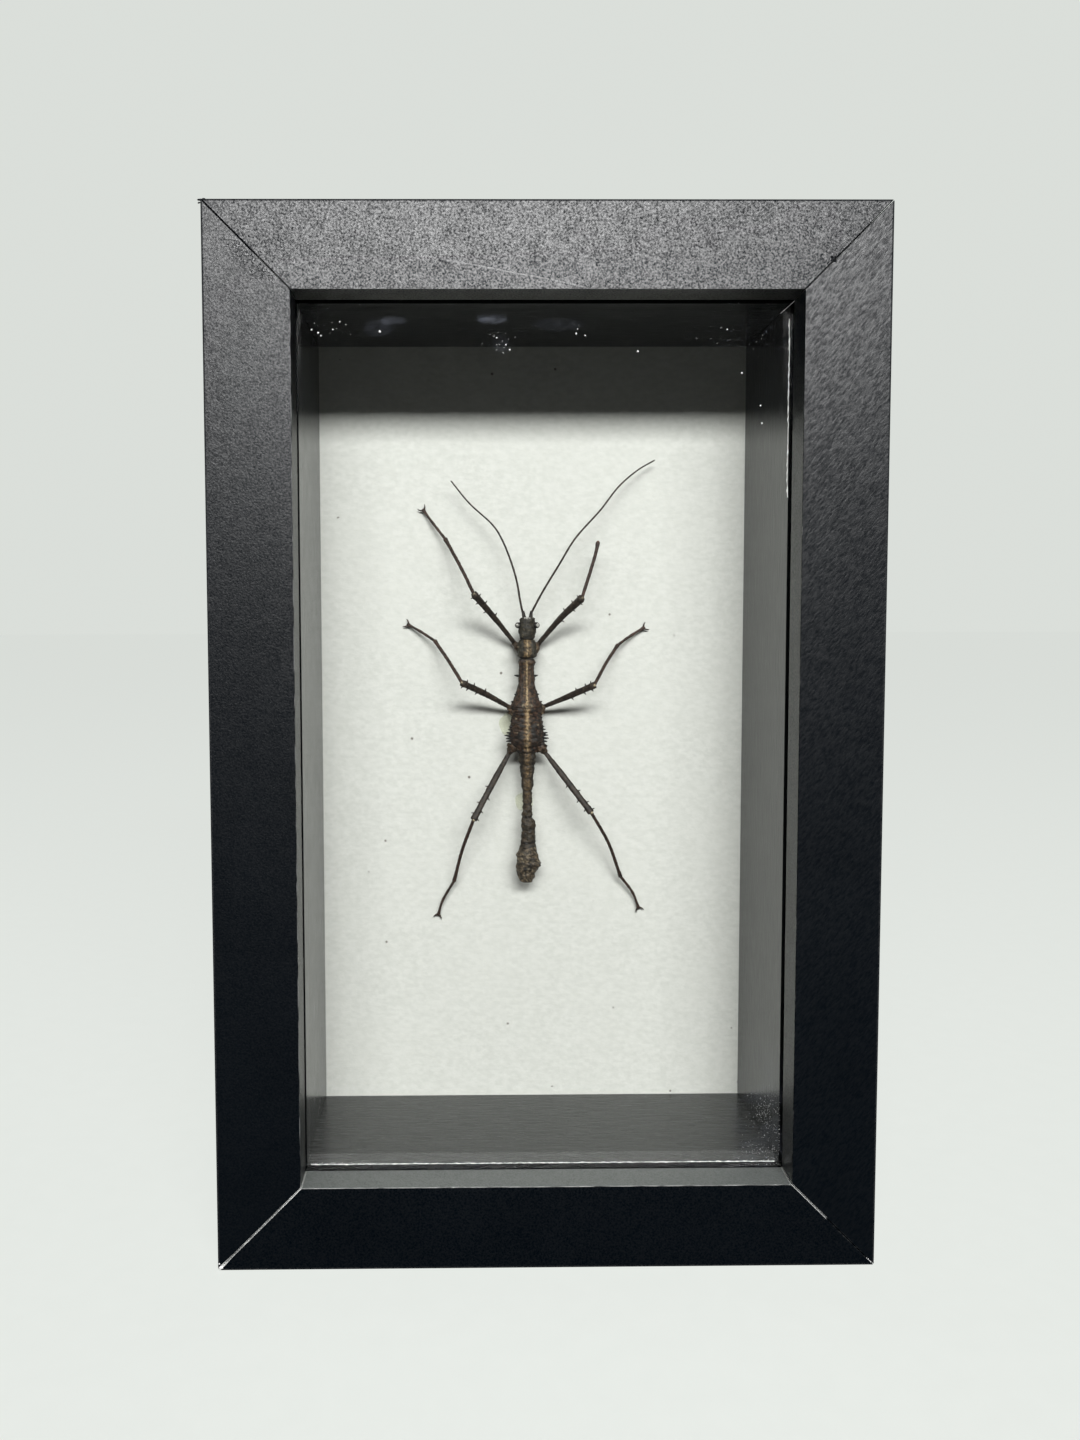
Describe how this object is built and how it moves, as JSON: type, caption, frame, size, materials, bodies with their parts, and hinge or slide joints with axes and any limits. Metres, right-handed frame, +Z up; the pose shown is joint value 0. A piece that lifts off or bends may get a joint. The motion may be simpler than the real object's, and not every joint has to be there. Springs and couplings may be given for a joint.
{
  "type": "shadow box",
  "caption": "Deep black mitred box frame with a glass front, dark liner and white card that shows a dried stick insect; its back lifts out past turn buttons.",
  "frame": {"origin": "middle of the underside of the bottom rail, halfway through the depth of the rails", "axes": "+Z up along the height, +Y to the rear, +X to the right as seen from the front; the glass faces -Y"},
  "size_m": [0.134, 0.0484, 0.213],
  "materials": {
    "foil_wrapped_moulding": "black foil with a fine grain, satin",
    "black_liner": "black, satin, with a wood grain",
    "glass": "clear, polished",
    "white_card": "matt off-white",
    "hardboard": "matt brown fibre",
    "zinc_steel": "zinc plated",
    "insect_body": "dry brown chitin, satin",
    "insect_legs": "dry dark chitin, satin",
    "clear_glue": "clear, slightly yellow, glossy"
  },
  "bodies": {
    "frame": {"frame_top": "foil_wrapped_moulding", "frame_bottom": "foil_wrapped_moulding", "frame_left": "foil_wrapped_moulding", "frame_right": "foil_wrapped_moulding", "glass_pane": "glass", "liner_top": "black_liner", "liner_bottom": "black_liner", "liner_left": "black_liner", "liner_right": "black_liner", "v_nail_top_right": "zinc_steel", "v_nail_bottom_right": "zinc_steel", "v_nail_bottom_left": "zinc_steel", "v_nail_top_left": "zinc_steel", "turn_button_screw_upper_left": "zinc_steel", "turn_button_screw_upper_right": "zinc_steel", "turn_button_screw_lower_left": "zinc_steel", "turn_button_screw_lower_right": "zinc_steel", "sawtooth_hanger": "zinc_steel", "hanger_nail_left": "zinc_steel", "hanger_nail_right": "zinc_steel"},
    "back": {"backing_card": "white_card", "back_board": "hardboard", "insect_head": "insect_body", "insect_prothorax": "insect_body", "insect_mesothorax": "insect_body", "insect_metathorax": "insect_body", "insect_abdomen": "insect_body", "insect_front_left_femur": "insect_legs", "insect_front_left_tibia": "insect_legs", "insect_front_right_femur": "insect_legs", "insect_front_right_tibia": "insect_legs", "insect_middle_left_femur": "insect_legs", "insect_middle_left_tibia": "insect_legs", "insect_middle_right_femur": "insect_legs", "insect_middle_right_tibia": "insect_legs", "insect_hind_left_femur": "insect_legs", "insect_hind_left_tibia": "insect_legs", "insect_hind_right_femur": "insect_legs", "insect_hind_right_tibia": "insect_legs", "insect_antenna_left": "insect_legs", "insect_antenna_right": "insect_legs", "glue_dot_upper": "clear_glue", "glue_dot_lower": "clear_glue"},
    "turn_button_upper_left": {"turn_button_upper_left": "zinc_steel"},
    "turn_button_upper_right": {"turn_button_upper_right": "zinc_steel"},
    "turn_button_lower_left": {"turn_button_lower_left": "zinc_steel"},
    "turn_button_lower_right": {"turn_button_lower_right": "zinc_steel"}
  },
  "joints": [
    {"name": "back_lift_out", "type": "slide", "parent": "frame", "child": "back", "axis": [0, 1, 0], "range_m": [0, 0.06]},
    {"name": "turn_button_upper_left_swivel", "type": "hinge", "parent": "frame", "child": "turn_button_upper_left", "pos_m": [-0.061, 0.0233, 0.163], "axis": [0, -1, 0], "continuous": true},
    {"name": "turn_button_upper_right_swivel", "type": "hinge", "parent": "frame", "child": "turn_button_upper_right", "pos_m": [0.061, 0.0233, 0.163], "axis": [0, 1, 0], "continuous": true},
    {"name": "turn_button_lower_left_swivel", "type": "hinge", "parent": "frame", "child": "turn_button_lower_left", "pos_m": [-0.061, 0.0233, 0.05], "axis": [0, -1, 0], "continuous": true},
    {"name": "turn_button_lower_right_swivel", "type": "hinge", "parent": "frame", "child": "turn_button_lower_right", "pos_m": [0.061, 0.0233, 0.05], "axis": [0, 1, 0], "continuous": true}
  ]
}
